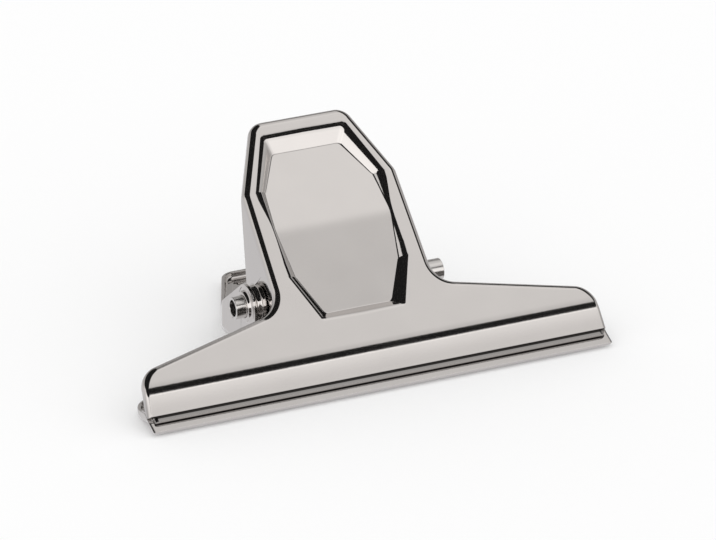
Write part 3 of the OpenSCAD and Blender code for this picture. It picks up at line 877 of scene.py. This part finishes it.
class CLIP_OT_spring(bpy.types.Operator):
    """Builds the torsion spring on the tube"""

    bl_idname = "clip.spring"
    bl_label = "Spring"

    def line(self, scene):
        """Middle line of the wire, in places seen from the pivot, and half of the coil's length."""
        s, sheet = scene.clip_spring, scene.clip_sheet
        wire = s.wire
        coil = scene.clip_tube.radius + s.play + wire / 2
        plate = Plate(sheet, True)
        lean = math.atan((sheet.recess - sheet.ridge) / (sheet.recess_tip - sheet.tip_wall - sheet.ridge_at))
        floor = sheet.sheet + plate.floor_depth(sheet.along + s.foot_at)
        foot = sheet.depth - floor - (s.lift + wire / 2) / math.cos(lean)
        straight = math.sqrt(s.foot_at**2 + foot**2 - coil**2)
        slope = math.atan2(foot, s.foot_at) - math.atan2(coil, straight)
        first = 1.5 * math.pi - slope
        sweep = first - (sheet.opening + slope + math.pi / 2) + 2 * math.pi * s.turns
        half = s.pitch * sweep / (4 * math.pi)
        fall = np.array([-math.cos(slope), math.sin(slope)])
        rest = np.array([math.cos(lean), math.sin(lean)])
        heel = np.array([s.foot_at, -foot])
        below, above = heel + s.heel * rest, heel + s.heel * fall
        leg = [heel + s.foot * rest, below]
        for t in np.linspace(0, 1, HEEL_POINTS)[1:-1]:
            leg.append((1 - t) ** 2 * below + 2 * t * (1 - t) * heel + t * t * above)
        start = leg[-1]
        stop = coil * np.array([math.cos(first), math.sin(first)])
        leg.append(above)
        leg += [start * (1 - t) + stop * t for t in np.linspace(0, 1, LEG_POINTS)[1:-1]]
        rear = [(-half, y, z) for y, z in leg]
        count = int(sweep / (2 * math.pi) * COIL_FACES)
        ring = []
        for i in range(count + 1):
            a = first - sweep * i / count
            ring.append((-half + 2 * half * i / count, coil * math.cos(a), coil * math.sin(a)))
        c, d = math.cos(sheet.opening), math.sin(sheet.opening)
        front = [(-x, y * c + z * d, y * d - z * c) for x, y, z in rear]
        return rear + ring + front[::-1], half

    def execute(self, context):
        scene = context.scene
        s = scene.clip_spring
        points, half = self.line(scene)
        data = bpy.data.meshes.new("spring_line")
        places = [(PIVOT[0] + x, PIVOT[1] + y, PIVOT[2] + z) for x, y, z in points]
        data.from_pydata(places, [(i, i + 1) for i in range(len(places) - 1)], [])
        obj = bpy.data.objects.new("torsion_spring_skin", data)
        scene.collection.objects.link(obj)
        tree, names = wire_tree()
        modifier = obj.modifiers.new("Wire", "NODES")
        modifier.node_group = tree
        modifier[names["radius"]] = s.wire / 2
        modifier[names["sides"]] = s.sides
        modifier[names["paint"]] = nickel("Spring wire", s.steel, s.roughness, grain=2.0)
        graph = context.evaluated_depsgraph_get()
        live = obj.evaluated_get(graph)
        wire = bpy.data.meshes.new_from_object(live, preserve_all_data_layers=True, depsgraph=graph)
        obj.modifiers.remove(modifier)
        obj.data = wire
        if not wire.polygons:
            raise RuntimeError("the spring's wire came out empty")
        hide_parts("torsion_spring")
        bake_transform(obj)
        return {"FINISHED"}


class CLIP_OT_stage(bpy.types.Operator):
    """Sets the floor, the light of the room and the camera"""

    bl_idname = "clip.stage"
    bl_label = "Stage"

    def execute(self, context):
        scene = context.scene
        s = scene.clip_stage
        self.floor(scene, s)
        self.world(scene)
        self.camera(scene, s)
        return {"FINISHED"}

    def floor(self, scene, s):
        """White paper, which metal sees a little darker."""
        data = bpy.data.meshes.new("floor")
        corners = [(x * s.floor, y * s.floor, 0) for x, y in ((-1, -1), (1, -1), (1, 1), (-1, 1))]
        data.from_pydata(corners, [], [(0, 1, 2, 3)])
        obj = bpy.data.objects.new("floor", data)
        scene.collection.objects.link(obj)
        material, tree, shader = nodes_of("Paper")
        shader.inputs["Base Color"].default_value = (*s.paper, 1.0)
        shader.inputs["Roughness"].default_value = 0.9
        shader.inputs["Specular IOR Level"].default_value = 0.0
        glow = tree.nodes.new("ShaderNodeEmission")
        glow.inputs["Color"].default_value = (*s.paper_glow, 1.0)
        rays = tree.nodes.new("ShaderNodeLightPath")
        choose = tree.nodes.new("ShaderNodeMixShader")
        tree.links.new(rays.outputs["Is Glossy Ray"], choose.inputs["Fac"])
        tree.links.new(shader.outputs["BSDF"], choose.inputs[1])
        tree.links.new(glow.outputs["Emission"], choose.inputs[2])
        tree.links.new(choose.outputs["Shader"], tree.nodes["Material Output"].inputs["Surface"])
        data.materials.append(material)

    def world(self, scene):
        """White room, of which metal sees a long panel overhead and the lower walls, and darkness between."""
        world = bpy.data.worlds.new("Studio")
        scene.world = world
        world.use_nodes = True
        tree = world.node_tree
        new, link = tree.nodes.new, tree.links.new
        place = new("ShaderNodeTexCoord")
        axes = new("ShaderNodeSeparateXYZ")
        link(place.outputs["Generated"], axes.inputs["Vector"])

        def put(socket, value):
            """Links an output or sets a number."""
            if isinstance(value, (int, float)):
                socket.default_value = value
            else:
                link(value, socket)

        def calc(kind, a, b):
            """Result of one sum or product."""
            node = new("ShaderNodeMath")
            node.operation = kind
            put(node.inputs[0], a)
            put(node.inputs[1], b)
            return node.outputs["Value"]

        def ramp(value, low, high, start=0.0, end=1.0):
            """Smooth change from start to end while the value goes from low to high."""
            node = new("ShaderNodeMapRange")
            node.interpolation_type = "SMOOTHSTEP"
            put(node.inputs["Value"], value)
            for name, number in (("From Min", low), ("From Max", high), ("To Min", start), ("To Max", end)):
                node.inputs[name].default_value = number
            return node.outputs["Result"]

        x, y, z = (axes.outputs[k] for k in "XYZ")
        height = calc("MAXIMUM", z, 0.01)
        across, along = calc("DIVIDE", x, height), calc("DIVIDE", y, height)
        panel = ramp(across, 0.2, 0.27)
        for change in (
            (across, 0.6, 0.68, 1.0, 0.0),  # right side of the panel
            (along, -0.73, -0.69),  # near end
            (along, 1.5, 2.2, 1.0, 0.0),  # far end
            (along, -0.68, -0.15, 0.74, 0.96),  # brighter towards its middle
            (along, -0.1, 0.35, 1.0, 0.76),  # and dimmer beyond it
            (along, 0.5, 1.3, 1.0, 0.5),
        ):
            panel = calc("MULTIPLY", panel, ramp(*change))
        tilt = calc("ADD", z, calc("MULTIPLY", y, 0.08))
        low = ramp(tilt, 0.541, 0.571, 1.0, 0.0)  # the walls end here, a little lower at the far side
        corner = calc("MULTIPLY", ramp(x, -0.85, -0.4, 0.35, 0.0), ramp(y, -0.3, 0.1, 1.0, 0.0))
        room = calc("MULTIPLY", x, -0.17)
        for light in (
            calc("MULTIPLY", y, -0.3),
            ramp(z, 0.567, 0.602, 0.69, 1.15),
            corner,
            ramp(y, -1.0, -0.8, 0.13, 0.0),
            ramp(y, -0.6, -0.5, 0.25, 0.0),
        ):
            room = calc("ADD", room, light)
        total = calc("ADD", panel, calc("MULTIPLY", low, room))
        total = calc("ADD", total, 0.012)  # the dark between them isn't quite black
        tint = new("ShaderNodeCombineColor")
        for name, share in (("Red", 1.0), ("Green", 0.975), ("Blue", 0.96)):
            put(tint.inputs[name], calc("MULTIPLY", total, share))
        rays = new("ShaderNodeLightPath")
        choose = new("ShaderNodeMix")
        choose.data_type = "RGBA"
        choose.inputs["A"].default_value = (1.0, 1.0, 1.0, 1.0)
        link(rays.outputs["Is Glossy Ray"], choose.inputs["Factor"])
        link(tint.outputs["Color"], choose.inputs["B"])
        link(choose.outputs["Result"], tree.nodes["Background"].inputs["Color"])
        tree.nodes["Background"].inputs["Strength"].default_value = 1.0

    def camera(self, scene, s):
        """Long lens, turned to the clip as in the photograph."""
        data = bpy.data.cameras.new("camera")
        data.sensor_width = 36.0
        data.lens = s.lens
        data.clip_end = 10.0
        obj = bpy.data.objects.new("camera", data)
        scene.collection.objects.link(obj)
        a, e = s.turn, s.height
        right = Vector((math.cos(a), -math.sin(a), 0.0))
        back = Vector((-math.sin(a) * math.cos(e), -math.cos(a) * math.cos(e), math.sin(e)))
        up = back.cross(right)
        aim = Vector(PIVOT) + right * s.aim_right + up * s.aim_up
        turn = Matrix((right, up, back)).transposed().to_4x4()
        obj.matrix_world = Matrix.Translation(aim + back * s.distance) @ turn
        scene.camera = obj


class CLIP_PT_panel(bpy.types.Panel):
    """Lists the steps in the sidebar"""

    bl_idname = "CLIP_PT_panel"
    bl_label = "Letter Clip"
    bl_space_type = "VIEW_3D"
    bl_region_type = "UI"
    bl_category = "Clip"

    def draw(self, context):
        for operator in OPERATORS:
            self.layout.operator(operator.bl_idname)


OPERATORS = (CLIP_OT_plates, CLIP_OT_tube, CLIP_OT_spring, CLIP_OT_stage)
GROUPS = {
    "clip_sheet": SheetSettings,
    "clip_tube": TubeSettings,
    "clip_spring": SpringSettings,
    "clip_stage": StageSettings,
}


def register():
    for cls in (*GROUPS.values(), *OPERATORS, CLIP_PT_panel):
        bpy.utils.register_class(cls)
    for name, cls in GROUPS.items():
        setattr(bpy.types.Scene, name, PointerProperty(type=cls))


def unregister():
    for name in GROUPS:
        delattr(bpy.types.Scene, name)
    for cls in (CLIP_PT_panel, *OPERATORS[::-1], *list(GROUPS.values())[::-1]):
        bpy.utils.unregister_class(cls)


def main():
    """Builds the clip and its stage."""
    register()
    bpy.context.scene.view_settings.view_transform = "Standard"
    bpy.ops.clip.plates()
    bpy.ops.clip.tube()
    bpy.ops.clip.spring()
    bpy.ops.clip.stage()


if __name__ == "__main__":
    main()
